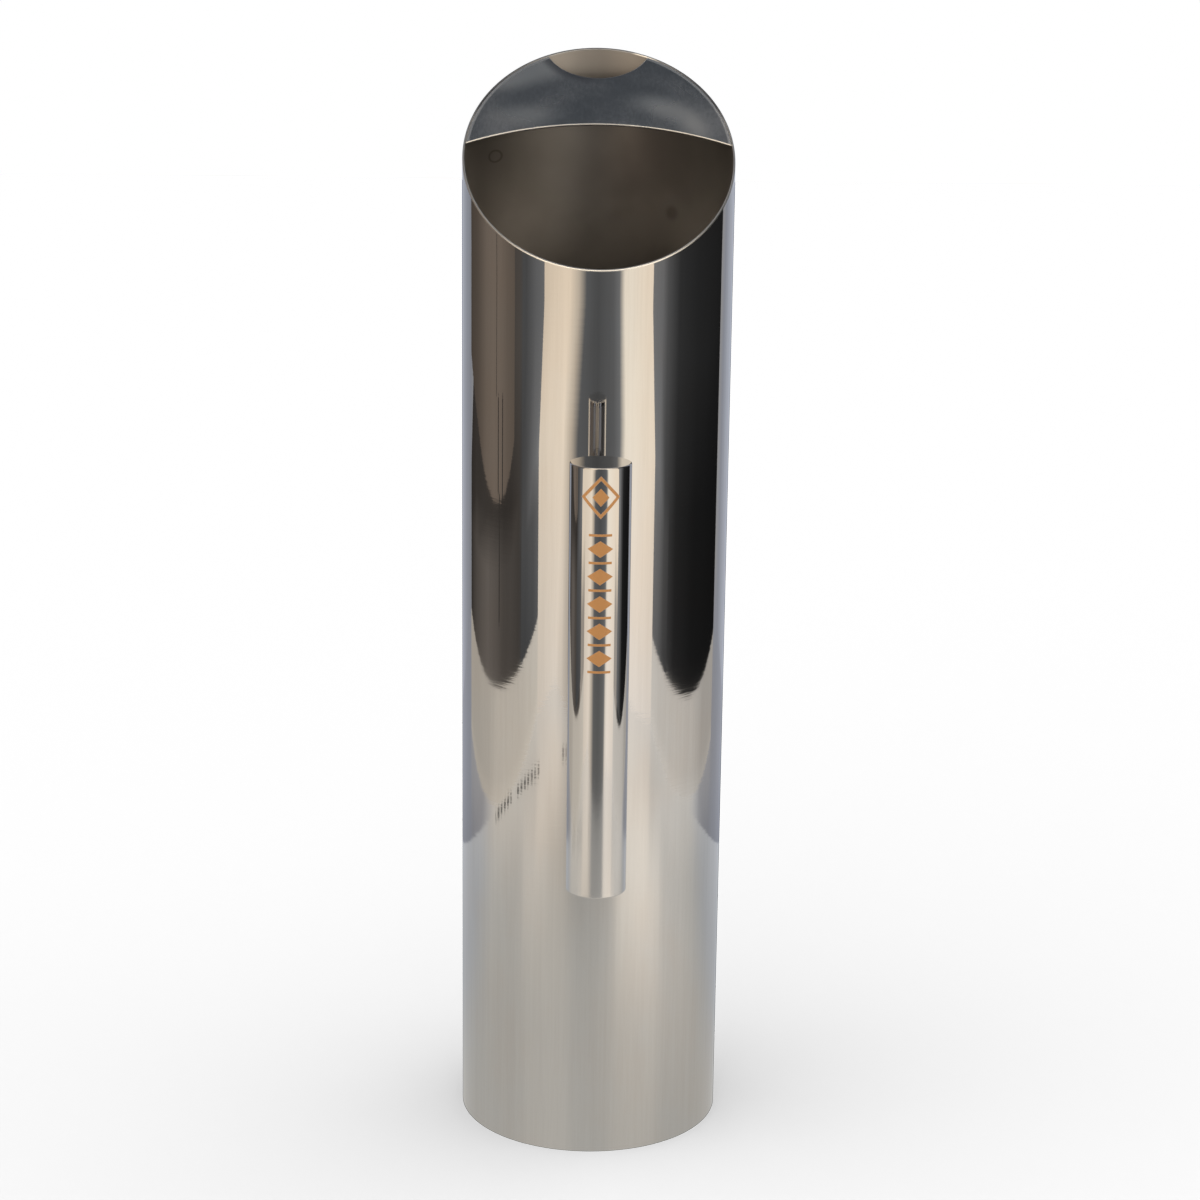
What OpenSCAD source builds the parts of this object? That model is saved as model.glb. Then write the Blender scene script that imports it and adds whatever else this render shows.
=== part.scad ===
// Tall steel pitcher: a straight tube with a slanted mouth, a crescent guard that holds back ice
// under the high side of the mouth, and an upright bar handle on two posts below the low side.
// The tube stands on Z = 0 about the Z axis, the handle is towards -Y and the spout towards +Y.

/* [Body] */
// Outside diameter of the body tube
body_d = 90; // [75:1:110]
// Wall thickness of the body tube
body_wall = 0.7; // [0.5:0.1:1.5]
// Height of the slanted mouth, measured on the axis of the tube
mouth_h = 336.7; // [310:0.1:400]
// Slope of the mouth, rising from the handle to the spout
mouth_slope = 35.4; // [20:0.1:42]

/* [Base] */
// Sheet thickness of the pressed base
base_t = 0.8; // [0.5:0.1:1.5]
// Depth of the hollow under the base
base_recess = 5; // [4:0.5:12]
// Outside radius of the bend where the base turns down into its flange
base_bend_r = 2.4; // [1.6:0.1:3]

/* [Ice guard] */
// Sheet thickness of the guard
guard_t = 0.8; // [0.5:0.1:1.5]
// Width of the guard at its middle, along the slope
guard_w = 39.9; // [30:0.1:46]
// Radius of the guard's hollow front edge
guard_edge_r = 101.5; // [75:0.5:160]
// Radius of the pouring notch in the guard
notch_r = 18.2; // [13:0.1:20]
// Depth of the pouring notch, along the slope
notch_depth = 16.1; // [10:0.1:20]

/* [Handle] */
// Diameter of the bar
handle_d = 19; // [15:0.5:26]
// Wall thickness of the bar's tube
handle_wall = 1; // [0.8:0.1:2]
// Length of the bar over its two end caps
handle_len = 137.5; // [120:0.5:160]
// Height of the bar's lower end above the table
handle_z = 116.7; // [90:0.1:130]
// Clear gap for the fingers between the body and the bar
finger_gap = 43.2; // [30:0.1:60]
// Thickness of an end cap
cap_t = 1.5; // [1:0.1:3]
// Rounding of an end cap's edge
cap_edge_r = 0.6; // [0.3:0.1:0.9]
// Depth of an end cap's spigot inside the bar
cap_spigot = 3; // [2:0.5:6]

/* [Posts] */
// Diameter of a post
post_d = 11; // [9:0.5:13]
// Distance of a post's axis from the nearer end of the bar
post_inset = 21.2; // [16:0.1:30]
// Diameter of the pin that locates a post in the bar
pin_d = 6; // [4:0.5:7]
// How far the pin stands into the hollow of the bar
pin_reach = 1.5; // [0.5:0.1:3]
// Leg of the weld bead where a post meets the body
weld_leg = 1.6; // [0.8:0.1:2.5]

/* [Hidden] */
$fn = 240;
// Gap between a piece and the piece that it is fitted into
fit_gap = 0.05;
// Overrun of a cut past the face that it opens
overrun = 1;

body_r = body_d / 2;
bore_r = body_r - body_wall;
// Distance along the slope from the axis of the tube to the highest point of the mouth
mouth_reach = body_r / cos(mouth_slope);
// Height of the tube before its mouth is cut
blank_h = mouth_h + body_r * tan(mouth_slope) + overrun;
// Side of the block that cuts the mouth
mouth_block = 2 * (mouth_reach + overrun);

pan_r = bore_r - fit_gap;
pan_h = base_recess + base_t;

// Centres of the guard's two curved edges, along the slope from the axis of the tube
front_arc_s = mouth_reach - guard_w - guard_edge_r;
notch_arc_s = mouth_reach - notch_depth + notch_r;

handle_r = handle_d / 2;
handle_bore_r = handle_r - handle_wall;
handle_y = -(body_r + finger_gap + handle_r);
handle_top = handle_z + handle_len;

post_r = post_d / 2;
pin_r = pin_d / 2;
// Length of a pin: through the bar's wall, and as far into the post as the pin is thick
pin_len = pin_reach + handle_wall + pin_d;
upper_post_z = handle_top - post_inset;
lower_post_z = handle_z + post_inset;
weld_r = post_r + weld_leg;
// How far the body's round falls away from a flat face within the radius of the weld bead
weld_saddle = body_r - sqrt(body_r ^ 2 - (weld_r + weld_leg) ^ 2);

steel = [0.80, 0.78, 0.74];
satin_steel = [0.52, 0.55, 0.59];
weld_steel = [0.62, 0.60, 0.57];

// Puts its children on the plane of the mouth, with Y up the slope
module on_mouth() translate([0, 0, mouth_h]) rotate([mouth_slope, 0, 0]) children();

// Puts its children on the axis of a post, with Z from the bar towards the body
module on_post(z) translate([0, handle_y, z]) rotate([-90, 0, 0]) children();

module body_tube() color(steel) difference() {
    cylinder(r = body_r, h = blank_h);
    translate([0, 0, -overrun]) cylinder(r = bore_r, h = blank_h + 2 * overrun);
    on_mouth() translate([-mouth_block / 2, -mouth_block / 2, 0]) cube(mouth_block);
}

// Section of the pressed base: a flat floor, a round bend and a flange down to the table
module pan_section() difference() {
    union() {
        square([pan_r - base_bend_r, pan_h]);
        square([pan_r, pan_h - base_bend_r]);
        translate([pan_r - base_bend_r, pan_h - base_bend_r]) circle(base_bend_r);
    }
    pan_hollow();
}

// Section of the hollow under the base, a sheet's thickness inside the outline
module pan_hollow() {
    inner_bend_r = base_bend_r - base_t;
    bend_x = pan_r - base_bend_r;
    bend_z = pan_h - base_bend_r;
    translate([0, -overrun]) square([bend_x, base_recess + overrun]);
    translate([0, -overrun]) square([pan_r - base_t, bend_z + overrun]);
    translate([bend_x, bend_z]) circle(inner_bend_r);
}

module base_pan() color(steel) rotate_extrude() pan_section();

// Flat crescent between the front edge, the pouring notch and the wall of the tube
module ice_guard() color(satin_steel) intersection() {
    cylinder(r = bore_r - fit_gap, h = blank_h);
    on_mouth() translate([0, 0, -guard_t]) difference() {
        translate([-mouth_block / 2, -mouth_block / 2, 0]) cube([mouth_block, mouth_block, guard_t]);
        translate([0, front_arc_s, -overrun]) cylinder(r = guard_edge_r, h = guard_t + 2 * overrun);
        translate([0, notch_arc_s, -overrun]) cylinder(r = notch_r, h = guard_t + 2 * overrun);
    }
}

module handle_tube() color(steel) difference() {
    translate([0, handle_y, handle_z + cap_t]) difference() {
        cylinder(r = handle_r, h = handle_len - 2 * cap_t);
        translate([0, 0, -overrun]) cylinder(r = handle_bore_r, h = handle_len);
    }
    for (z = [lower_post_z, upper_post_z]) on_post(z) cylinder(r = pin_r + fit_gap, h = handle_d);
}

// Cap lying on the end of the bar, with its rounded edge up and its spigot down in the bore
module end_cap() color(steel) {
    rotate_extrude() {
        square([handle_r - cap_edge_r, cap_t]);
        square([handle_r, cap_t - cap_edge_r]);
        translate([handle_r - cap_edge_r, cap_t - cap_edge_r]) circle(cap_edge_r);
    }
    translate([0, 0, -cap_spigot]) cylinder(r = handle_bore_r - fit_gap, h = cap_spigot + cap_t / 2);
}

module handle_top_cap() translate([0, handle_y, handle_top - cap_t]) end_cap();

module handle_bottom_cap() translate([0, handle_y, handle_z + cap_t]) mirror([0, 0, 1]) end_cap();

// Post coped to the round of the bar and of the body, with its pin in the bar
module post(z) color(steel) {
    difference() {
        on_post(z) cylinder(r = post_r, h = -handle_y);
        cylinder(r = body_r, h = blank_h);
        translate([0, handle_y, handle_z]) cylinder(r = handle_r, h = handle_len);
    }
    on_post(z) translate([0, 0, handle_bore_r - pin_reach]) cylinder(r = pin_r, h = pin_len);
}

module upper_post() post(upper_post_z);

module lower_post() post(lower_post_z);

// Sloping bead round the foot of a post, lying on the round of the body
module post_weld(z) color(weld_steel) difference() {
    on_post(z) translate([0, 0, handle_r + finger_gap - weld_leg])
        cylinder(r1 = post_r, r2 = weld_r + weld_saddle, h = weld_leg + weld_saddle);
    on_post(z) cylinder(r = post_r, h = -handle_y);
    cylinder(r = body_r, h = blank_h);
}

module upper_post_weld() post_weld(upper_post_z);

module lower_post_weld() post_weld(lower_post_z);

body_tube();
base_pan();
ice_guard();
handle_tube();
handle_top_cap();
handle_bottom_cap();
upper_post();
lower_post();
upper_post_weld();
lower_post_weld();
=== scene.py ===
"""Looks of the steel pitcher: its pieces in fine meshes and steel finishes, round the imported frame."""
import bmesh
import bpy
from math import atan2, cos, pi, radians, sin, sqrt, tan
from mathutils import Matrix, Vector


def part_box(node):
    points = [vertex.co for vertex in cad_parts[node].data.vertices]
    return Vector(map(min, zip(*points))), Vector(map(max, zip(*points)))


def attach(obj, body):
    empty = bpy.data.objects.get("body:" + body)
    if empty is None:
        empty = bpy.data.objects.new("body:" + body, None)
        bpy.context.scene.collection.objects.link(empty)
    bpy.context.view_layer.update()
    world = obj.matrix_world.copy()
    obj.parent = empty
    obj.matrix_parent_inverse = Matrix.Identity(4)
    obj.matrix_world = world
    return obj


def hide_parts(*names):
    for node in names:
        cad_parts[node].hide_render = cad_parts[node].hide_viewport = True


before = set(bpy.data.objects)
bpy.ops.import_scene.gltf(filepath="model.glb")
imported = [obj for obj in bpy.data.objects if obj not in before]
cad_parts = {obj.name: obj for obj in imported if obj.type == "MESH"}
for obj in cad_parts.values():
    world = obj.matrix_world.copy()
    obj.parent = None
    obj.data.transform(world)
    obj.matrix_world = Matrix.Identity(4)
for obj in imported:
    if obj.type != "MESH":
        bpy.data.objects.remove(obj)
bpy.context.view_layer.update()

# Camera: a short telephoto lens in front of the handle, looking down a little, as the photograph was taken.
lens = 82.62
sensor = 36.0
camera_place = Vector((-0.015656, -0.914458, 0.428158))
camera_pitch = radians(14.8925)
camera_turn = radians(-1.1166)
camera_roll = radians(0.707)

bpy.context.scene.view_settings.view_transform = "Standard"
camera_data = bpy.data.cameras.new("camera")
camera_data.lens = lens
camera_data.sensor_width = sensor
camera = bpy.data.objects.new("camera", camera_data)
bpy.context.scene.collection.objects.link(camera)
bpy.context.scene.camera = camera
camera.rotation_mode = "QUATERNION"
camera.matrix_world = (
    Matrix.Translation(camera_place)
    @ Matrix.Rotation(camera_turn, 4, "Z")
    @ Matrix.Rotation(pi / 2 - camera_pitch, 4, "X")
    @ Matrix.Rotation(camera_roll, 4, "Z")
)


# Studio: a round table in a box of cards and lit panels. Polished steel shows nothing but what is round it,
# so the cards stand where their reflections lie on the tube. Only reflections see them, and the camera sees
# a white background with the soft shadow of the pitcher on the floor.
class Wire:
    """A socket in a tree of nodes. Sums of wires are written as plain Python and add Math nodes."""

    def __init__(self, tree, socket=None):
        self.tree = tree
        self.socket = socket

    def node(self, kind, settings=None, values=None, output=0):
        """Adds a node: its settings first, then the numbers or wires of its sockets."""
        new = self.tree.nodes.new("ShaderNode" + kind)
        for name, value in (settings or {}).items():
            setattr(new, name, value)
        for name, value in (values or {}).items():
            if isinstance(value, Wire):
                self.tree.links.new(value.socket, new.inputs[name])
            else:
                new.inputs[name].default_value = value
        return Wire(self.tree, new.outputs[output] if new.outputs else None)

    def out(self, output):
        """Another output of the node that this wire comes from."""
        return Wire(self.tree, self.socket.node.outputs[output])

    def math(self, operation, *others):
        """A Math node on this value, and on others where the operation takes more."""
        return self.node("Math", {"operation": operation}, dict(enumerate((self, *others))))

    def vector(self, operation, *others):
        """A Vector Math node on this vector. A length or a distance comes out as a number."""
        output = "Value" if operation in ("LENGTH", "DISTANCE") else "Vector"
        return self.node("VectorMath", {"operation": operation}, dict(enumerate((self, *others))), output)

    def __add__(self, other):
        return self.math("ADD", other)

    def __sub__(self, other):
        return self.math("SUBTRACT", other)

    def __rsub__(self, other):
        return self.node("Math", {"operation": "SUBTRACT"}, {0: other, 1: self})

    def __mul__(self, other):
        return self.math("MULTIPLY", other)

    def __truediv__(self, other):
        return self.math("DIVIDE", other)

    __radd__ = __add__
    __rmul__ = __mul__

    def between(self, low, high, to_low=0.0, to_high=1.0):
        """This value moved from the range low to high into another one, and kept inside it."""
        return self.node("MapRange", {"interpolation_type": "SMOOTHSTEP"},
                         {0: self, 1: low, 2: high, 3: to_low, 4: to_high})

    def mix(self, colour_a, colour_b):
        """Colour a where this value is 0, and colour b where it is 1."""
        colours = [c if isinstance(c, Wire) else (*c, 1) for c in (colour_a, colour_b)]
        return self.node("Mix", {"data_type": "RGBA"}, {0: self, 6: colours[0], 7: colours[1]}, 2)

    def noise(self, scales, detail=2.0, roughness=0.5):
        """Noise at this place, drawn out by a scale for each axis, in waves per metre."""
        return self.node("TexNoise", None, {"Vector": self.vector("MULTIPLY", scales), "Scale": 1.0,
                                            "Detail": detail, "Roughness": roughness})


sharp_angle = radians(50)


def new_material(name):
    """An empty material, and the wire that its first nodes come from."""
    material = bpy.data.materials.new(name)
    material.use_nodes = True
    material.node_tree.nodes.clear()
    return material, Wire(material.node_tree)


def add_mesh(name, bm, materials):
    """A finished object at the origin from a bmesh in metres, smooth but for its sharp edges."""
    mesh = bpy.data.meshes.new(name)
    for face in bm.faces:
        face.smooth = True
    for edge in bm.edges:
        edge.smooth = edge.calc_face_angle(0) < sharp_angle
    bm.to_mesh(mesh)
    bm.free()
    for material in materials:
        mesh.materials.append(material)
    made = bpy.data.objects.new(name, mesh)
    bpy.context.scene.collection.objects.link(made)
    return made


def only_in_reflections(made):
    """Hides a stage object from all but the reflections on the steel."""
    made.visible_camera = False
    made.visible_diffuse = False
    made.visible_transmission = False
    made.visible_volume_scatter = False
    made.visible_shadow = False


def card(name, rails):
    """A glowing card through upright rails. A rail lists its points from low to high, each with its glow."""
    bm = bmesh.new()
    glow = bm.loops.layers.float_color.new("glow")
    columns = [[(bm.verts.new(point), colour) for point, colour in rail] for rail in rails]
    for one, other in zip(columns, columns[1:]):
        for level in range(len(one) - 1):
            corners = (one[level], other[level], other[level + 1], one[level + 1])
            face = bm.faces.new([vert for vert, colour in corners])
            for loop, (vert, colour) in zip(face.loops, corners):
                loop[glow] = (*colour, 1)
    material, wire = new_material(name)
    colour = wire.node("VertexColor", {"layer_name": "glow"})
    emission = wire.node("Emission", None, {"Color": colour, "Strength": 1.0})
    wire.node("OutputMaterial", None, {"Surface": emission})
    only_in_reflections(add_mesh(name, bm, [material]))


card_top = 0.95
cream = Vector((1.12, 0.97, 0.79))
warm_cream = Vector((1.04, 0.87, 0.68))
white_cream = Vector((1.11, 1.01, 0.86))
low_cream = Vector((1.0, 0.90, 0.79))
low_white = Vector((1.0, 0.92, 0.84))
beige = Vector((0.66, 0.61, 0.54))
pale_grey = Vector((0.64, 0.61, 0.57))
brown = Vector((0.205, 0.166, 0.136))
dark_brown = Vector((0.105, 0.093, 0.084))
grey = Vector((0.197, 0.200, 0.207))
cool_grey = Vector((0.335, 0.355, 0.410))

# Two walls stand close beside the table. Each is pale at its foot, up to a hem, and above the hem a dark card
# hangs on it. Nearer the camera a wall is cream instead. The glow changes at fixed heights, and from lean_z
# upwards the end of a wall leans over along it.
left_wall = (Vector((-0.360, 0.275)), Vector((-0.405, -0.316)))
right_wall = (Vector((0.402, -0.318)), Vector((0.385, 0.245)))
left_hem = (0.0638, -0.012)
right_hem = (0.046, 0.010)
left_join = 0.84
right_join = 0.17
left_end = 1.085
right_end = -0.053
left_lean = 0.1
right_lean = -0.095
foot_low_z = -0.002
foot_even_z = 0.012
foot_extra_glow = 0.12
dark_low_z = 0.113
dark_middle_z = 0.140
lean_z = 0.212


def on(wall, share, z):
    """A point of a wall by its share of the way along and its height."""
    x, y = wall[0].lerp(wall[1], share)
    return x, y, z


def hem_of(hem, share):
    """Height of the dark card's lower edge, from its height at the wall's start and its rise along it."""
    return hem[0] + hem[1] * share


def foot_card(name, wall, hem, colour, stops):
    """The pale foot of a wall, by its glow at each share of the way. It glows most close to the table."""
    card(name, [[(on(wall, share, foot_low_z), colour * (level + foot_extra_glow)),
                 (on(wall, share, foot_even_z), colour * level),
                 (on(wall, share, hem_of(hem, share)), colour * level)] for share, level in stops])


def hung_card(name, wall, hem, stops):
    """A dark card on a wall, by the lean of each rail and its glow low, in the middle and high."""
    rails = []
    for share, lean, low, middle, high in stops:
        rails.append([(on(wall, share, hem_of(hem, share)), low), (on(wall, share, dark_low_z), low),
                      (on(wall, share, dark_middle_z), middle), (on(wall, share + lean, lean_z), high),
                      (on(wall, share + lean, card_top), high)])
    card(name, rails)


foot_card("left_foot", left_wall, left_hem, beige,
          [(-0.06, 0.74), (0.15, 0.76), (0.36, 0.82), (0.48, 0.97), (0.80, 1.0), (left_end, 1.15)])
foot_card("right_foot", right_wall, right_hem, pale_grey,
          [(-0.06, 1.22), (0.10, 1.12), (0.40, 1.08), (0.60, 0.98), (0.78, 0.76), (1.03, 0.72)])
hung_card("left_dark_card", left_wall, left_hem, [
    (-0.055, 0.115, dark_brown * 0.35, dark_brown * 0.35, dark_brown * 0.4),
    (0.12, 0, dark_brown * 0.95, dark_brown * 0.5, dark_brown * 0.5),
    (0.34, 0, dark_brown * 1.5, dark_brown * 0.55, dark_brown * 0.5),
    (0.45, 0, dark_brown * 1.3, dark_brown * 0.55, dark_brown * 0.5),
    (0.56, 0, dark_brown * 0.86, dark_brown * 0.42, dark_brown * 0.5),
    (0.66, 0, dark_brown * 0.84, dark_brown * 0.45, dark_brown * 0.8),
    (0.76, 0, dark_brown * 0.68, dark_brown * 0.62, dark_brown * 0.9),
    (left_join, 0, grey * 0.33, grey * 0.45, grey * 0.45)])
hung_card("right_dark_card", right_wall, right_hem, [
    (right_join, 0, grey * 0.28, grey * 0.35, grey * 0.45),
    (0.30, 0, grey * 0.11, grey * 0.12, grey * 0.19),
    (0.55, 0, grey * 0.06, grey * 0.06, grey * 0.12),
    (1.035, 0, grey * 0.04, grey * 0.04, grey * 0.075)])

# Beside the cream part of each wall a narrow dark flag stands close to the pitcher. In the tube's reflection
# it carries on the dark card, but the bar sees past it to the cream.
left_flag_x = -0.160
right_flag_x = 0.165
flag_top = 0.34
flag_hem_glow = 1.08
flag_low_glow = 1.45
cream_low_z = 0.090
cream_middle_z = 0.125
cream_even_z = 0.150


def flag(name, x, rises, stops):
    """A dark flag at one x, by the rises above its hem at which its glow changes. Each rail gives its y low
    and high, the height of its hem, and its glow low, in the middle and high."""
    rails = []
    for y, high_y, hem, low, middle, high in stops:
        rails.append([((x, y, hem), low * flag_hem_glow), ((x, y, hem + rises[0]), low * flag_low_glow),
                      ((x, y, hem + rises[1]), middle),
                      ((x, high_y, hem + rises[2]), high), ((x, high_y, flag_top), high)])
    card(name, rails)


def side_panel(name, wall, hem, start, end, lean, low, middle, high):
    """The cream part of a wall between two shares of its way, the second of which leans over high up."""
    card(name, [[(on(wall, share, hem_of(hem, share)), low), (on(wall, share, cream_low_z), low),
                 (on(wall, share, cream_middle_z), middle), (on(wall, share, cream_even_z), middle),
                 (on(wall, share + over, lean_z), high), (on(wall, share + over, card_top), high)]
                for share, over in ((start, 0), (end, lean))])


flag("left_flag", left_flag_x, (0.0475, 0.0685, 0.1250), [
    (-0.0961, -0.0961, 0.1292, grey * 0.33, grey * 0.40, grey * 0.45),
    (-0.1095, -0.1095, 0.1310, grey * 0.33, grey * 0.50, grey * 0.44),
    (-0.1402, -0.1402, 0.1360, grey * 0.42, grey * 1.0, grey * 0.74),
    (-0.1585, -0.1795, 0.1393, grey * 0.6, grey * 1.3, grey * 1.0)])
flag("right_flag", right_flag_x, (0.0523, 0.0736, 0.1305), [
    (-0.1013, -0.1013, 0.1235, grey * 0.24, grey * 0.29, grey * 0.39),
    (-0.1170, -0.1170, 0.1253, grey * 0.34, grey * 0.42, grey * 0.54),
    (-0.1371, -0.1371, 0.1278, grey * 0.68, grey * 1.2, grey * 0.98),
    (-0.1578, -0.1794, 0.1308, grey * 0.85, grey * 1.35, grey * 1.15)])
side_panel("left_side_panel", left_wall, left_hem, left_join, left_end, left_lean,
           low_cream * 0.42, cream * 0.88, warm_cream * 0.84)
side_panel("right_side_panel", right_wall, right_hem, right_join, right_end, right_lean,
           low_white * 0.45, cream, cream)

# A brown board hangs a little in front of the left card, and a thin stand stands before the board.
board_gap = Vector((0.004, 0.0))
board_wall = (left_wall[0] + board_gap, left_wall[1] + board_gap)
board_hem = [(-0.055, 0.196, 0.40), (0.15, 0.175, 0.54), (0.24, 0.163, 0.72), (0.32, 0.154, 0.93),
             (0.42, 0.148, 1.03), (0.51, 0.147, 1.0), (0.58, 0.150, 0.86), (0.64, 0.158, 0.76),
             (0.695, 0.171, 0.68)]
card("brown_board", [[(on(board_wall, share, z), brown * level),
                      (on(board_wall, share, card_top), brown * level)] for share, z, level in board_hem])
stand_wall = (board_wall[0] + board_gap, board_wall[1] + board_gap)
stand_glow = dark_brown * 0.45
stand_slats = ((0.484, 0.011, 0.152, 0.197), (0.538, 0.011, 0.142, 0.197), (0.50, 0.011, 0.09, 0.152),
               (0.462, 0.006, 0.197, 0.42))
for number, (share, width, low_z, high_z) in enumerate(stand_slats):
    card(f"stand_{number}", [[(on(stand_wall, at, low_z), stand_glow),
                              (on(stand_wall, at, high_z), stand_glow)] for at in (share, share + width)])

# Front: two cream panels stand at the table's edge, with a dark gap between them for the lens.
gap_low = Vector((0.150, 0.150, 0.148))
gap_high = Vector((0.105, 0.108, 0.112))
left_front = [(on(left_wall, left_end, 0.0), low_cream * 0.85),
              (on(left_wall, left_end, cream_even_z), cream * 0.88),
              (on(left_wall, left_end + left_lean, lean_z), warm_cream * 0.84),
              (on(left_wall, left_end + left_lean, card_top), warm_cream * 0.84)]
right_front = [(on(right_wall, right_end, 0.0), low_white * 0.95),
               (on(right_wall, right_end, cream_even_z), cream),
               (on(right_wall, right_end + right_lean, lean_z), cream),
               (on(right_wall, right_end + right_lean, card_top), cream)]
front_y = -0.515
front_lean_z = 0.222


def front_rail(low_x, middle_x, high_x, low, middle, high):
    """An upright rail of the front, by its x and glow at the table, at the even height, and high up."""
    return [((low_x, front_y, 0.0), low), ((middle_x, front_y, cream_even_z), middle),
            ((high_x, front_y, front_lean_z), high), ((high_x, front_y, card_top), high)]


left_gap_edge = front_rail(-0.130, -0.140, -0.085, gap_low * 1.1, gap_high * 1.25, gap_high * 1.25)
right_gap_edge = front_rail(0.150, 0.175, 0.156, gap_low * 1.6, gap_high * 2.0, gap_high * 2.0)
card("left_panel", [
    left_front,
    front_rail(-0.330, -0.330, -0.330, low_cream, cream * 0.96, warm_cream * 0.96),
    front_rail(-0.262, -0.262, -0.215, low_cream * 0.80, cream, warm_cream * 1.02),
    front_rail(-0.190, -0.195, -0.140, low_cream * 0.5, cream * 0.58, cream * 0.58),
    left_gap_edge])
card("gap", [
    left_gap_edge,
    front_rail(0.0, 0.0, 0.0, gap_low, gap_high * 0.92, gap_high * 0.92),
    front_rail(0.105, 0.128, 0.110, gap_low * 1.2, gap_high * 1.3, gap_high * 1.3),
    right_gap_edge])
card("right_panel", [
    right_gap_edge,
    front_rail(0.205, 0.225, 0.200, low_white * 0.95, white_cream * 1.03, white_cream),
    front_rail(0.270, 0.265, 0.250, low_white * 1.10, white_cream * 1.05, white_cream),
    right_front])

# Back: a cool grey sheet, paler in its middle, which only the very edges of the tube show to the camera.
back_y = 0.49
back_stops = [(-0.9, beige * 0.7), (-0.5, cool_grey * 0.86), (-0.33, cool_grey * 1.05),
              (0.0, cool_grey * 1.6), (0.33, cool_grey * 1.3), (0.5, cool_grey * 0.95), (0.9, beige * 0.7)]
card("back_sheet", [[((x, back_y, 0.0), colour), ((x, back_y, card_top), colour)]
                    for x, colour in back_stops])

# Ceiling of the box, dim and bluish with soft paler patches, and the long lamp over the camera.
ceiling_half = 1.4
ceiling_dim = (0.10, 0.112, 0.125)
ceiling_pale = (0.20, 0.198, 0.20)
bm = bmesh.new()
bmesh.ops.create_grid(bm, x_segments=1, y_segments=1, size=ceiling_half,
                      matrix=Matrix.Translation((0, 0, card_top)))
ceiling_material, wire = new_material("ceiling")
place = wire.node("TexCoord", output="Object")
cloud = place.noise((2.5, 2.5, 2.5), detail=1.0)
patches = cloud.between(0.35, 0.65).mix(ceiling_dim, ceiling_pale)
glow = wire.node("Emission", None, {"Color": patches, "Strength": 1.0})
wire.node("OutputMaterial", None, {"Surface": glow})
only_in_reflections(add_mesh("ceiling", bm, [ceiling_material]))

lamp_glow = cream * 2.2
lamp_half = 0.5
lamp_edges = ((-0.90, 0.72), (-0.28, 0.94))
card("long_lamp", [[((x, y, z), lamp_glow) for y, z in lamp_edges] for x in (-lamp_half, lamp_half)])

# Round turntable on a pale floor, in one plane. Reflections see a satin table whose light is painted into its
# glow: painted bright near the pitcher and dim far off, painted cool at the back, with a pool of painted
# light on each side of the pitcher and a patch of painted shade at the front left. Three groups of dark ticks
# lie on the left of its rim, and the floor behind the table is painted dark as painted shade. The camera sees
# a plain white floor, and on it nothing but the pitcher's shadow.
table_centre = Vector((0.003, -0.115, 0.0))
table_r = 0.390
table_edge = 0.001
# Painted light in the table's glow: bright near the pitcher, dim far off, and cool at the back.
table_painted_bright_near = (0.495, 0.485, 0.46)
table_painted_dim_far = (0.25, 0.25, 0.245)
table_painted_cool_back = (0.44, 0.455, 0.48)
painted_falloff_fade = (0.18, 0.46)
back_fade = (0.10, 0.24)
floor_half = 3.0
# Painted shade: the floor behind the table, dark and cool.
floor_painted_dark_back = (0.21, 0.22, 0.255)
floor_white = (0.8, 0.8, 0.8)
# Two pools of painted light, one on each side of the pitcher, in the table's glow.
painted_light_colour = (0.84, 0.80, 0.75)
right_painted_light_at = (0.20, -0.13, 0.0)
right_painted_light_fade = (0.22, 0.02)
right_painted_light_share = 0.42
left_painted_light_at = (-0.25, -0.20, 0.0)
left_painted_light_fade = (0.14, 0.01)
left_painted_light_share = 0.10
# A patch of painted shade at the front left of the table, which also dims its sheen.
painted_shade_colour = (0.1, 0.1, 0.1)
painted_shade_at = (-0.12, -0.27, 0.0)
painted_shade_fade = (0.20, 0.02)
painted_shade_share = 0.12
tick_count = 96
tick_length = 0.010
tick_groups = ((7.6, 9.4), (15.2, 22.4), (23.6, 28.6))
tick_fade = 0.1
tick_share = 0.85
tick_black = (0.02, 0.02, 0.02)
tick_wear = 0.006
gloss_fade = (0.12, 0.42)
gloss_range = (0.11, 0.66)
bm = bmesh.new()
bmesh.ops.create_grid(bm, x_segments=1, y_segments=1, size=floor_half)
floor_material, wire = new_material("floor")
place = wire.node("TexCoord", output="Object")
offset = place.vector("SUBTRACT", table_centre)
from_centre = offset.vector("LENGTH")
from_axis = place.vector("LENGTH")
parts = wire.node("SeparateXYZ", None, {0: offset})
backwards = parts.out(1).between(*back_fade)
painted_falloff = from_axis.between(*painted_falloff_fade)
# Painted light in pools beside the pitcher, and painted shade at the front left, in the glow and the sheen.
right_painted_light = place.vector("DISTANCE", right_painted_light_at).between(*right_painted_light_fade) * right_painted_light_share
left_painted_light = place.vector("DISTANCE", left_painted_light_at).between(*left_painted_light_fade) * left_painted_light_share
painted_shade = place.vector("DISTANCE", painted_shade_at).between(*painted_shade_fade)
beyond = from_centre.between(table_r - table_edge, table_r + table_edge)
on_table = backwards.mix(painted_falloff.mix(table_painted_bright_near, table_painted_dim_far), table_painted_cool_back)
table_with_painted_shade = (painted_shade * painted_shade_share).mix(on_table, painted_shade_colour)
table_with_painted_light = (right_painted_light + left_painted_light).mix(table_with_painted_shade, painted_light_colour)
surface = (beyond * backwards).mix(table_with_painted_light, floor_painted_dark_back)
turn = (parts.out(0) * -1).math("ARCTAN2", parts.out(1) * -1) * (tick_count / (2 * pi))
worn = place.noise((90.0, 90.0, 90.0), detail=1.0)
tick = (turn.math("FRACT") + worn * 0.8).between(0.80, 0.86)
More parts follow.
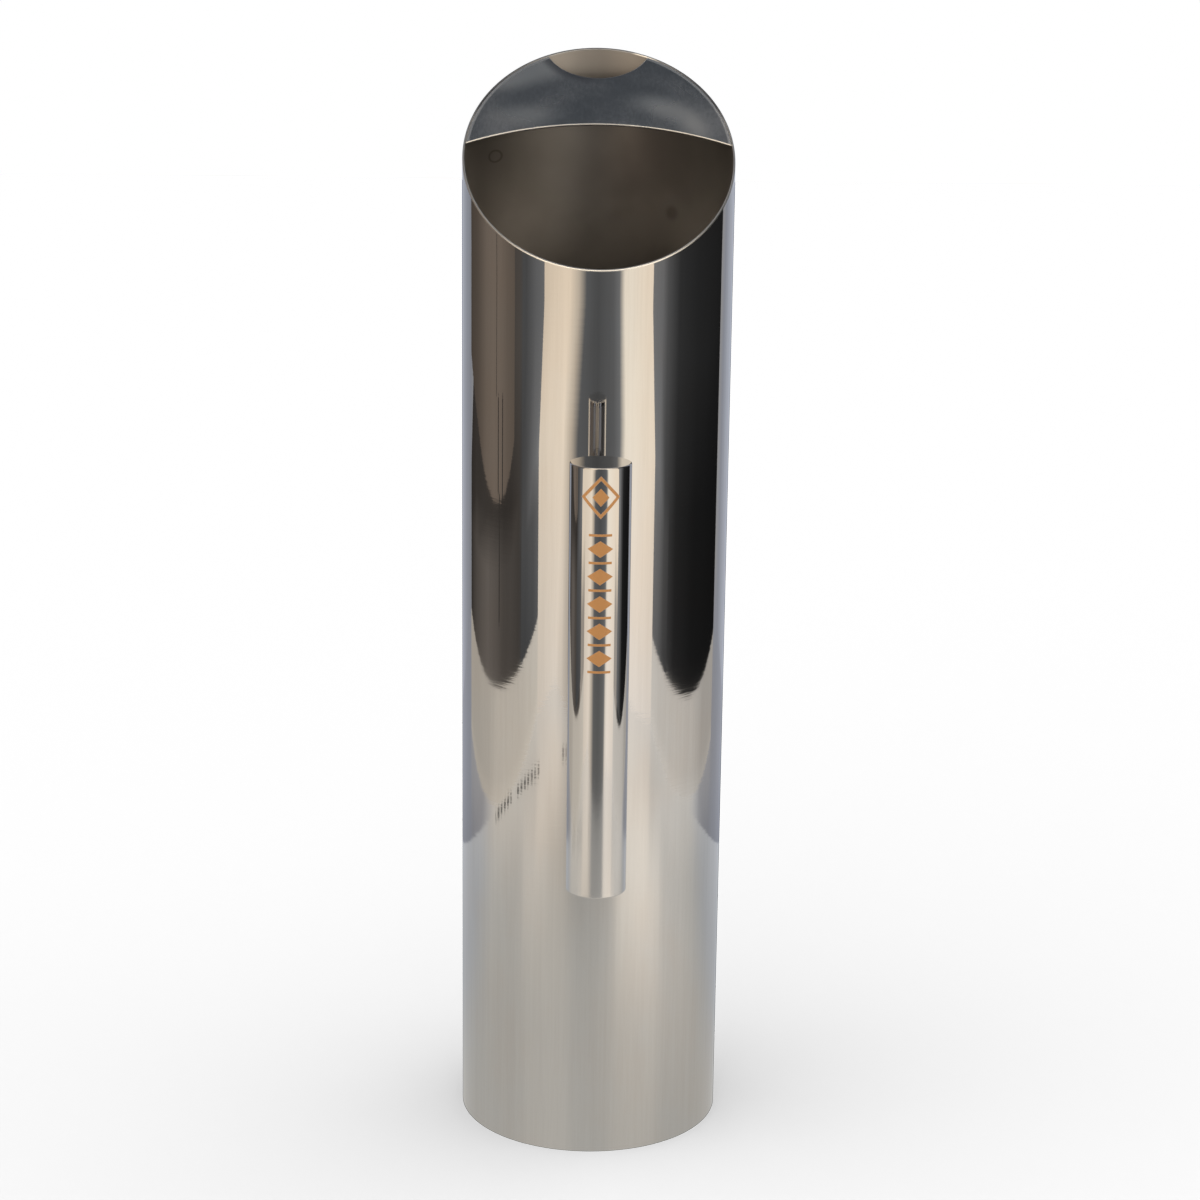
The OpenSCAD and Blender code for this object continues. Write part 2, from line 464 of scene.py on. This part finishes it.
grouped = sum((turn.between(start, start + tick_fade) * turn.between(end + tick_fade, end)
               for start, end in tick_groups), 0)
ticks_r = table_r - tick_length
at_rim = (from_centre + worn * tick_wear).between(ticks_r, ticks_r + table_edge) * (1 - beyond)
mark = tick * at_rim * grouped * tick_share
gloss = from_axis.between(*gloss_fade, *gloss_range) * (1 - mark)
gloss = gloss * (1 - backwards * 0.45) * (1 - painted_shade * 0.4)
sheen = wire.node("BsdfGlossy", None, {"Color": gloss.mix((0, 0, 0), (1, 1, 1)), "Roughness": 0.40})
glow = wire.node("Emission", None, {"Color": mark.mix(surface, tick_black), "Strength": 1.0})
table = wire.node("AddShader", None, {0: glow, 1: sheen})
plain = wire.node("BsdfDiffuse", None, {"Color": (*floor_white, 1)})
ray = wire.node("LightPath")
clear = wire.node("BsdfTransparent")
under = wire.node("NewGeometry", output="Backfacing")
seen = wire.node("MixShader", None, {0: ray.out("Is Camera Ray"), 1: table, 2: plain})
both = wire.node("MixShader", None, {0: under, 1: seen, 2: clear})
wire.node("OutputMaterial", None, {"Surface": both})
floor = add_mesh("floor", bm, [floor_material])
floor.is_shadow_catcher = True

# Lamps: two large soft boxes high above, for the floor and its shadow alone.
soft_lamp_size = 2.2
soft_lamps = (("soft_lamp_left", (-0.7, -0.6, 1.7), 14.0), ("soft_lamp_right", (0.9, 0.2, 1.8), 11.0))
for lamp_name, lamp_place, lamp_watts in soft_lamps:
    lamp_data = bpy.data.lights.new(lamp_name, "AREA")
    lamp_data.size = soft_lamp_size
    lamp_data.energy = lamp_watts
    lamp = bpy.data.objects.new(lamp_name, lamp_data)
    lamp.location = lamp_place
    lamp.rotation_mode = "QUATERNION"
    lamp.rotation_quaternion = (-Vector(lamp_place)).to_track_quat("-Z", "Y")
    lamp.visible_glossy = False
    lamp.visible_camera = False
    bpy.context.scene.collection.objects.link(lamp)

# World: white to the camera and in reflections, and a little dimmer as the light on the floor.
daylight_dim = (0.55, 0.55, 0.56)
daylight_white = (1.0, 1.0, 1.0)
world = bpy.data.worlds.new("world")
bpy.context.scene.world = world
world.use_nodes = True
world.node_tree.nodes.clear()
wire = Wire(world.node_tree)
ray = wire.node("LightPath")
mirrored = ray.out("Is Glossy Ray").math("MAXIMUM", ray.out("Is Transmission Ray"))
shows_white = ray.out("Is Camera Ray").math("MAXIMUM", mirrored)
daylight = shows_white.mix(daylight_dim, daylight_white)
backdrop = wire.node("Background", None, {"Color": daylight, "Strength": 1.0})
wire.node("OutputWorld", None, {"Surface": backdrop})


# Body: a seam-welded tube of 0.7 mm stainless sheet, cut off at a slant to make the mouth. Its outside is
# polished round and round to a near mirror, its inside is left satin, and the cut edge is rounded by hand.
body_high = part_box("body_tube")[1]
body_r = body_high.x
wall = 0.0007
bore_r = body_r - wall
mouth_slope = radians(35.4)
mouth_z = body_high.z - body_r * tan(mouth_slope)
rim_round = 0.00032
foot_round = 0.00012
round_segments = 384
ring_count = 20


def arc(centre, radius, start, end, steps):
    """Points of an outline along an arc, by its angles in degrees."""
    turns = [radians(start + (end - start) * i / steps) for i in range(steps + 1)]
    return [(centre[0] + radius * cos(a), centre[1] + radius * sin(a)) for a in turns]


def along(start, end, steps):
    """Numbers from start to end in even steps."""
    return [start + (end - start) * i / steps for i in range(steps + 1)]


def face_outwards(bm):
    """Turns the faces of a closed shell outwards. The sign of its volume settles what the operator can't."""
    bmesh.ops.recalc_face_normals(bm, faces=bm.faces[:])
    if bm.calc_volume(signed=True) < 0:
        bmesh.ops.reverse_faces(bm, faces=bm.faces[:])


def spun(outline, segments, place=(0, 0, 0), closed=False):
    """A bmesh spun from an outline of (radius, z) points about an upright axis through a place."""
    bm = bmesh.new()
    verts = [bm.verts.new((r, 0, z)) for r, z in outline]
    edges = [bm.edges.new(pair) for pair in zip(verts, verts[1:])]
    if closed:
        edges.append(bm.edges.new((verts[-1], verts[0])))
    bmesh.ops.spin(bm, geom=verts + edges, cent=(0, 0, 0), axis=(0, 0, 1), angle=2 * pi, steps=segments,
                   use_merge=True)
    bmesh.ops.remove_doubles(bm, verts=bm.verts[:], dist=1e-7)
    bmesh.ops.translate(bm, verts=bm.verts[:], vec=place)
    face_outwards(bm)
    return bm


def even_normals(made):
    """Keeps wide faces free of the shading of the narrow bevels beside them."""
    made.modifiers.new("even_normals", "WEIGHTED_NORMAL").keep_sharp = True


# The outline of the wall is spun as an even tube, whose columns are then drawn out to the slant of the mouth.
outer_side = [(body_r, share) for share in along(0, 1, ring_count)]
inner_side = [(bore_r, share) for share in along(1, 0, ring_count)]
bm = spun(outer_side + inner_side, round_segments, closed=True)
for v in bm.verts:
    v.co.z *= mouth_z + v.co.y * tan(mouth_slope)
for face in bm.faces:
    middle_r = face.calc_center_median().xy.length
    if middle_r < bore_r:
        face.material_index = 1
    elif middle_r < body_r - wall / 4:
        face.material_index = 2
bm.normal_update()
corners = [e for e in bm.edges if e.calc_face_angle(0) > sharp_angle]
mouth_edges = [e for e in corners if e.verts[0].co.z > mouth_z / 2]
foot_edges = [e for e in corners if e.verts[0].co.z < mouth_z / 2]
bmesh.ops.bevel(bm, geom=mouth_edges, offset=rim_round, offset_type="OFFSET", affect="EDGES", segments=4,
                profile=0.5, material=2)
bmesh.ops.bevel(bm, geom=foot_edges, offset=foot_round, offset_type="OFFSET", affect="EDGES", segments=3,
                profile=0.5, material=2)


def steel(name, anisotropy=0.0):
    """A bare steel: its material, its wire and its Principled node's values, which finished() puts in."""
    material, wire = new_material(name)
    return material, wire, {"Metallic": 1.0, "Anisotropic": anisotropy, "Anisotropic Rotation": 0.25}


def bumped(height):
    """The normal of a surface with this height, in metres."""
    return height.node("Bump", None, {"Strength": 1.0, "Distance": 1.0, "Height": height})


def finished(wire, values):
    """Closes a steel with its Principled node and output."""
    surface = wire.node("BsdfPrincipled", None, values)
    wire.node("OutputMaterial", None, {"Surface": surface})


# The outside has hairlines round the tube over faint waves, and faint upright streaks of a browner tone.
steel_colour = (0.69, 0.675, 0.655)
clean_colours = ((0.695, 0.685, 0.67), (0.695, 0.672, 0.645))
stained_colours = ((0.655, 0.645, 0.63), (0.66, 0.63, 0.60))
polished_steel, wire, values = steel("polished_steel", 0.55)
place = wire.node("TexCoord", output="Object")
hairs = place.noise((40.0, 40.0, 620.0), detail=3.0, roughness=0.65)
waves = place.noise((14.0, 14.0, 60.0), detail=1.0)
streaks = place.noise((420.0, 420.0, 11.0), detail=4.0, roughness=0.8)
stains = place.noise((26.0, 26.0, 16.0), detail=4.0, roughness=0.6).between(0.40, 0.65)
clean = stains.mix(*clean_colours)
stained = stains.mix(*stained_colours)
values["Base Color"] = streaks.between(0.28, 0.78).mix(clean, stained)
values["Roughness"] = place.noise((30.0, 30.0, 25.0), detail=3.0).between(0.3, 0.7, 0.030, 0.048)
values["Normal"] = bumped(hairs * 0.0000065 + waves * 0.000004)
finished(wire, values)

# The inside is duller and browner. Painted shade darkens it, most just under the guard as the guard's shadow,
# and a little right of the middle, less at the spout. A faint ring and a smudge are left from the work.
spout_z = 0.350
spout_fade = 0.003
# Heights over which the painted shadow just under the guard fades out.
guard_shadow_fade = (0.336, 0.298)
painted_shade_left_fade = (-0.034, 0.014)
painted_shade_right_fade = (0.046, 0.018)
ring_at = (-0.0347, 0.0275, 0.3331)
ring_squeeze = (0.57, 0.57, 1.0)
ring_inner_fade = (0.0014, 0.0018)
ring_outer_fade = (0.0024, 0.0020)
smudge_at = (0.0260, 0.0359, 0.3135)
smudge_fade = (0.0035, 0.0010)
# Colours of the inside; the darkest one is the painted shadow just under the guard.
satin_painted_guard_shadow = (0.34, 0.326, 0.308)
satin_deep = (0.80, 0.77, 0.735)
satin_spout = (0.50, 0.475, 0.45)
satin_dark_marks_and_shade = (0.12, 0.108, 0.104)
satin_inside, wire, values = steel("satin_inside", 0.6)
values["Anisotropic Rotation"] = 0.0
place = wire.node("TexCoord", output="Object")
parts = wire.node("SeparateXYZ", None, {0: place})
at_spout = parts.out(2).between(spout_z - spout_fade, spout_z + spout_fade)
deep = parts.out(2).between(*guard_shadow_fade)
lines = place.noise((2400.0, 2400.0, 60.0), detail=2.0)
values["Roughness"] = place.noise((40.0, 40.0, 30.0), detail=3.0).between(0.3, 0.7, 0.38, 0.46)
values["Normal"] = bumped(lines * 0.0000015)
from_ring = place.vector("SUBTRACT", ring_at).vector("MULTIPLY", ring_squeeze).vector("LENGTH")
ring = from_ring.between(*ring_inner_fade) * from_ring.between(*ring_outer_fade)
smudge = place.vector("DISTANCE", smudge_at).between(*smudge_fade)
cloud = place.noise((35.0, 35.0, 35.0), detail=3.0).between(0.35, 0.65)
# Painted shade a little right of the middle, weaker at the spout, darkens the inside with the ring, the
# smudge and faint clouds.
painted_shade = parts.out(0).between(*painted_shade_left_fade) * parts.out(0).between(*painted_shade_right_fade) * (1 - at_spout * 0.7)
marks_and_painted_shade = painted_shade * 0.68 + ring * 0.42 + smudge * 0.2 + cloud * 0.15
bare = at_spout.mix(deep.mix(satin_painted_guard_shadow, satin_deep), satin_spout)
values["Base Color"] = marks_and_painted_shade.mix(bare, satin_dark_marks_and_shade)
finished(wire, values)

# The cut edge is bright. High on the mouth, along the guard, it is painted dark as a painted reflection of
# the dim ceiling, but for a bright stretch beside the notch.
edge_bright = (0.93, 0.92, 0.89)
# Painted dark reflection for the top of the edge.
edge_painted_dark = (0.20, 0.21, 0.23)
painted_dark_fade = (0.346, 0.352)
painted_dark_share = 0.8
notch_side_from = (0.011, 0.014)
notch_side_to = (0.022, 0.017)
ground_edge, wire, values = steel("ground_edge")
place = wire.node("TexCoord", output="Object")
parts = wire.node("SeparateXYZ", None, {0: place})
beside_notch = parts.out(0).between(*notch_side_from) * parts.out(0).between(*notch_side_to)
# Painted dark reflection high on the mouth, left off beside the notch.
painted_dark_top = parts.out(2).between(*painted_dark_fade) * (1 - beside_notch) * painted_dark_share
values["Base Color"] = painted_dark_top.mix(edge_bright, edge_painted_dark)
values["Roughness"] = place.noise((120.0, 120.0, 120.0), detail=2.0).between(0.3, 0.7, 0.28, 0.36)
finished(wire, values)

body = add_mesh("body", bm, [polished_steel, satin_inside, ground_edge])
even_normals(body)
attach(body, "root")
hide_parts("body_tube")


# Base: pressed from 0.8 mm sheet with its flange turned down, welded inside the tube's foot and ground flush.
# It stays satin, with the faint rings of the spinning lathe.
pan_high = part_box("base_pan")[1]
pan_r = pan_high.x
pan_t = 0.0008
pan_bend = 0.0024
bend_at = (pan_r - pan_bend, pan_high.z - pan_bend)
outline = [(0, pan_high.z)] + arc(bend_at, pan_bend, 90, 0, 8) + [(pan_r, 0.0), (pan_r - pan_t, 0.0)]
outline += arc(bend_at, pan_bend - pan_t, 0, 90, 8) + [(0, pan_high.z - pan_t)]
bm = spun(outline, 192)
base_steel, wire, values = steel("base_steel")
values["Base Color"] = (0.60, 0.59, 0.57, 1)
place = wire.node("TexCoord", output="Object")
from_axis = place.vector("MULTIPLY", (1, 1, 0)).vector("LENGTH")
rings = wire.node("TexNoise", {"noise_dimensions": "1D"}, {"W": from_axis, "Scale": 2600.0, "Detail": 3.0})
blotch = place.noise((70.0, 70.0, 70.0), detail=3.0)
values["Roughness"] = (rings * 0.1 + blotch * 0.2) + 0.2
values["Normal"] = bumped(rings * 0.000004)
finished(wire, values)
base = add_mesh("base", bm, [base_steel])
even_normals(base)
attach(base, "root")
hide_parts("base_pan")


# Ice guard: a flat crescent of 0.8 mm sheet under the high side of the mouth, welded to the tube all along
# and ground flush with the rim. Its front edge is hollow, and a round notch lets the drink out.
guard_t = 0.0008
guard_w = 0.0399
guard_edge_r = 0.1015
notch_r = 0.0182
notch_depth = 0.0161
mouth_reach = body_r / cos(mouth_slope)
front_arc_s = mouth_reach - guard_w - guard_edge_r
notch_arc_s = mouth_reach - notch_depth + notch_r
guard_seam = 0.00002
edge_round = 0.0003
edge_sharp_angle = radians(60)
halvings = 60
on_mouth = Matrix.Translation((0, 0, mouth_z)) @ Matrix.Rotation(mouth_slope, 4, "X")


def wall_point(turn):
    """A point of the guard's outer edge in the plane of the mouth, by its turn round the tube."""
    return (bore_r - guard_seam) * sin(turn), (bore_r - guard_seam) * cos(turn) / cos(mouth_slope)


def arc_crossing(centre_s, radius, low, high):
    """The turn round the tube at which its wall meets one of the guard's arcs, found by halving its range."""
    for _ in range(halvings):
        middle = (low + high) / 2
        x, s = wall_point(middle)
        low_x, low_s = wall_point(low)
        outside = sqrt(x * x + (s - centre_s) ** 2) > radius
        low_outside = sqrt(low_x ** 2 + (low_s - centre_s) ** 2) > radius
        if outside == low_outside:
            low = middle
        else:
            high = middle
    return (low + high) / 2


front_turn = arc_crossing(front_arc_s, guard_edge_r, 0.5, 2.6)
notch_turn = arc_crossing(notch_arc_s, notch_r, 0.0, 1.2)
right_side = [wall_point(t) for t in along(notch_turn, front_turn, 90)]
front_x, front_s = right_side[-1]
front_half = atan2(front_x, front_s - front_arc_s)
front_edge = [(guard_edge_r * sin(t), front_arc_s + guard_edge_r * cos(t))
              for t in along(front_half, -front_half, 120)]
left_side = [(-x, s) for x, s in reversed(right_side)]
notch_x, notch_s = right_side[0]
notch_half = atan2(notch_x, notch_arc_s - notch_s)
notch_edge = [(notch_r * sin(t), notch_arc_s - notch_r * cos(t))
              for t in along(-notch_half, notch_half, 60)]
outline = right_side[:-1] + front_edge[:-1] + left_side[:-1] + notch_edge[:-1]
bm = bmesh.new()
top = bm.faces.new([bm.verts.new((x, s, 0)) for x, s in outline])
if top.normal.z < 0:
    top.normal_flip()
bm.normal_update()
grown = bmesh.ops.extrude_face_region(bm, geom=[top])
below = [v for v in grown["geom"] if isinstance(v, bmesh.types.BMVert)]
bmesh.ops.translate(bm, verts=below, vec=(0, 0, -guard_t))
face_outwards(bm)
sharp = [e for e in bm.edges if e.calc_face_angle(0) > edge_sharp_angle]
bmesh.ops.bevel(bm, geom=sharp, offset=edge_round, offset_type="OFFSET", affect="EDGES", segments=3,
                profile=0.5, material=1)
bmesh.ops.transform(bm, matrix=on_mouth, verts=bm.verts[:])

# Its face is dull and cloudy, with painted highlights as blurred reflections in two patches low on its sides
# and on a shoulder high on the left, and painted shadow round the notch. The welds along the rim and the
# front edge are ground to a paler band.
face_dark = (0.36, 0.375, 0.395)
face_light = (0.62, 0.63, 0.65)
# Painted highlight colour for the blurred reflections.
face_painted_highlight = (0.95, 0.935, 0.91)
# Painted shadow colour round the notch.
face_painted_shadow = (0.22, 0.225, 0.25)
face_ground = (0.82, 0.83, 0.84)
rim_band_fade = (0.0016, 0.0012)
front_band_fade = (0.0008, 0.0005)
# Where the two painted highlights lie.
right_highlight_at = (0.008, -0.004)
right_highlight_r = 0.0312
right_highlight_half = 0.0095
left_highlight_at = (-0.024, 0.0195)
left_highlight_r = 0.0105
satin_steel, wire, values = steel("satin_steel")
place = wire.node("TexCoord", output="Object")
cloudy = place.noise((30.0, 30.0, 30.0), detail=2.0, roughness=0.45)
grain = place.noise((1000.0, 420.0, 420.0), detail=3.0, roughness=0.7)
dents = place.noise((30.0, 30.0, 30.0), detail=1.0)
parts = wire.node("SeparateXYZ", None, {0: place})
x = parts.out(0)
s = parts.out(1) / cos(mouth_slope)


def reach_from(centre_x, centre_s, stretch=1.0):
    """Distance in the plane of the guard from a point of it, shortened along X by a stretch."""
    return wire.node("CombineXYZ", None, {0: (x - centre_x) * stretch, 1: s - centre_s}).vector("LENGTH")


to_wall = bore_r - wire.node("CombineXYZ", None, {0: x, 1: parts.out(1)}).vector("LENGTH")
to_front = reach_from(0.0, front_arc_s) - guard_edge_r
to_notch = reach_from(0.0, notch_arc_s) - notch_r
ragged = cloudy * 0.0006
rim_band = (to_wall + ragged).between(*rim_band_fade)
front_band = (to_front + ragged * 0.5).between(*front_band_fade)
ground = rim_band.math("MAXIMUM", front_band)
# Painted highlights: two patches low on the sides and a shoulder high on the left.
along_arc = reach_from(*right_highlight_at) - right_highlight_r
right_painted_highlight = along_arc.math("ABSOLUTE").between(right_highlight_half, 0.0)
right_painted_highlight = right_painted_highlight * x.between(0.002, 0.022, 0.0, 0.8) * x.between(0.043, 0.030)
left_painted_highlight = reach_from(*left_highlight_at, 0.5).between(left_highlight_r, 0.0) * 0.65
shoulder_painted_highlight = to_wall.between(0.016, 0.001) * x.between(0.001, -0.016) * s.between(0.026, 0.040)
painted_highlights = (right_painted_highlight + left_painted_highlight + shoulder_painted_highlight).between(0.0, 1.0)
cloud_tone = (cloudy + grain * 0.6).between(0.56, 1.12)
# Painted shadow round the notch, strongest on its left.
notch_painted_shadow = to_notch.between(0.0045, 0.0008) * x.between(0.004, -0.006, 0.15, 0.75)
face_colour = painted_highlights.mix(cloud_tone.mix(face_dark, face_light), face_painted_highlight)
values["Base Color"] = ground.mix(notch_painted_shadow.mix(face_colour, face_painted_shadow), face_ground)
values["Roughness"] = cloudy.between(0.3, 0.7, 0.22, 0.34) + ground * 0.1
values["Normal"] = bumped(grain * 0.000004 + dents * 0.00003)
finished(wire, values)
guard = add_mesh("guard", bm, [satin_steel, ground_edge])
even_normals(guard)
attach(guard, "root")
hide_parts("ice_guard")


# Handle: an upright bar of 19 mm tube, closed by two thick caps that are welded on and polished over, so
# that no joint shows. A small copper-coloured print of plain lozenges runs down its front.
bar_low, bar_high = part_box("handle_tube")
bar_axis = Vector(((bar_low.x + bar_high.x) / 2, (bar_low.y + bar_high.y) / 2, 0))
bar_r = (bar_high.x - bar_low.x) / 2
bar_wall = 0.001
cap_round = 0.0005
fit = 0.00005
bar_roughness = 0.05


def bar_polish(place):
    """The normal of the bar's polish, with very fine hairlines round it over faint waves."""
    hairs = place.noise((150.0, 150.0, 2200.0), detail=3.0, roughness=0.7)
    waves = place.noise((60.0, 60.0, 45.0), detail=1.0)
    return bumped(hairs * 0.0000004 + waves * 0.0000015)


bar_steel, wire, values = steel("bar_steel", 0.4)
values["Base Color"] = (*steel_colour, 1)
values["Roughness"] = bar_roughness
values["Normal"] = bar_polish(wire.node("TexCoord", output="Object"))
finished(wire, values)

# The same steel with the print on it: a lozenge in a frame, and a row of small lozenges and thin bars below.
# It is a little duller towards its lower end and at its back.
copper = (0.65, 0.295, 0.088)
frame_z = 0.2452
frame_outside = (0.0062, 0.0066)
frame_inside = (0.0049, 0.0052)
middle_size = (0.0026, 0.0028)
row_top = 0.2335
row_pitch = 0.0086
row_count = 5
row_size = (0.0040, 0.0026)
thin_height_fade = (0.00042, 0.00034)
thin_width_fade = (0.00365, 0.00355)
foot_dull_fade = (0.172, 0.138)


def lozenge(across, up, half_width, half_height):
    """1 inside a lozenge and 0 outside, with an edge as fine as print."""
    reach = across.math("ABSOLUTE") / half_width + up.math("ABSOLUTE") / half_height
    return reach.between(1.03, 0.97)


printed_steel, wire, values = steel("printed_steel", 0.4)
place = wire.node("TexCoord", output="Object")
parts = wire.node("SeparateXYZ", None, {0: place})
forwards = bar_axis.y - parts.out(1)
across = parts.out(0).math("ARCTAN2", forwards) * bar_r
up = parts.out(2) - frame_z
frame_mask = lozenge(across, up, *frame_outside) - lozenge(across, up, *frame_inside)
middle_mask = lozenge(across, up, *middle_size)
rows_down = (row_top - parts.out(2)) / row_pitch
in_row = (rows_down.math("FRACT") - 0.5) * row_pitch
row_mask = lozenge(across, in_row, *row_size)
from_thin = row_pitch / 2 - in_row.math("ABSOLUTE")
thin_mask = from_thin.between(*thin_height_fade) * across.math("ABSOLUTE").between(*thin_width_fade)
in_rows = rows_down.between(-0.05, -0.045) * rows_down.between(row_count + 0.05, row_count + 0.045)
rows_mask = row_mask.math("MAXIMUM", thin_mask) * in_rows
print_mask = frame_mask.math("MAXIMUM", rows_mask)
print_mask = print_mask.math("MAXIMUM", middle_mask) * forwards.between(0.0, 0.001)
values["Normal"] = bar_polish(place)
values["Base Color"] = print_mask.mix(steel_colour, copper)
values["Metallic"] = 1 - print_mask
at_back = parts.out(1).between(bar_axis.y + 0.001, bar_axis.y + 0.006, 0.0, 0.25)
at_foot = parts.out(2).between(*foot_dull_fade, 0.0, 0.07)
values["Roughness"] = print_mask * 0.36 + at_back + at_foot + 0.04
finished(wire, values)

bar_segments = 128
bar_outside = [(bar_r, z) for z in along(bar_low.z, bar_high.z, 8)]
bar_inside = [(bar_r - bar_wall, z) for z in along(bar_high.z, bar_low.z, 8)]
bm = spun(bar_outside + bar_inside, bar_segments, bar_axis, closed=True)
bar = add_mesh("handle_bar", bm, [printed_steel])
even_normals(bar)
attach(bar, "root")
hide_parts("handle_tube")

for end, joint_z, up in (("top", bar_high.z, 1), ("bottom", bar_low.z, -1)):
    cap_low, cap_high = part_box(f"handle_{end}_cap")
    outer_z = cap_high.z if up == 1 else cap_low.z
    spigot_z = cap_low.z if up == 1 else cap_high.z
    spigot_r = bar_r - bar_wall - fit
    corner = arc((bar_r - cap_round, outer_z - up * cap_round), cap_round, 90 * up, 0, 6)
    outline = [(0, outer_z)] + corner + [(bar_r, joint_z), (spigot_r, joint_z), (spigot_r, spigot_z),
                                         (0, spigot_z)]
    bm = spun(outline, bar_segments, bar_axis)
    cap = add_mesh(f"handle_{end}_end", bm, [bar_steel])
    even_normals(cap)
    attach(cap, "root")
    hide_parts(f"handle_{end}_cap")


# Posts: two short rods of 11 mm bar stock that carry the handle, coped to the rounds of tube and bar. Each is
# welded to the tube with a small hollow bead, which is brushed clean.
post_r = 0.0055
weld_leg = 0.0016
bead_ripples = 34
ripple_share = 0.05

weld_steel, wire, values = steel("weld_steel")
values["Base Color"] = (0.58, 0.55, 0.51, 1)
place = wire.node("TexCoord", output="Object")
values["Roughness"] = place.noise((500.0, 500.0, 500.0), detail=3.0).between(0.3, 0.7, 0.24, 0.4)
finished(wire, values)


def on_body(x):
    """Where the tube's round face lies at an x, on the side of the handle."""
    return -sqrt(body_r ** 2 - x ** 2)


def on_bar(x):
    """Where the bar's round back lies at an x."""
    return bar_axis.y + sqrt(bar_r ** 2 - x ** 2)


for level in ("upper", "lower"):
    post_low, post_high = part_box(f"{level}_post")
    post_z = (post_low.z + post_high.z) / 2
    steps = along(0, post_r, 6)
    outline = [(r, 0) for r in steps] + [(post_r, share) for share in along(0, 1, 6)[1:-1]]
    bm = spun(outline + [(r, 1) for r in reversed(steps)], 96)
    for v in bm.verts:
        x, y, share = v.co
        v.co = (x, on_bar(x) * (1 - share) + on_body(x) * share, post_z + y)
    face_outwards(bm)
    post = add_mesh(f"{level}_rod", bm, [bar_steel])
    even_normals(post)
    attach(post, "root")
    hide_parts(f"{level}_post")

    hollow = arc((post_r + weld_leg, weld_leg), weld_leg, 180, 270, 8)
    under = [(r, 0) for r in along(post_r + weld_leg, post_r, 4)]
    bm = spun(hollow + under[1:], bead_ripples * 6, closed=True)
    for v in bm.verts:
        x, y, lift = v.co
        ripple = 1 + ripple_share * sin(bead_ripples * atan2(x, y))
        v.co = (x, on_body(x) - lift * ripple, post_z + y)
    face_outwards(bm)
    weld = add_mesh(f"{level}_bead", bm, [weld_steel])
    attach(weld, "root")
    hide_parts(f"{level}_post_weld")
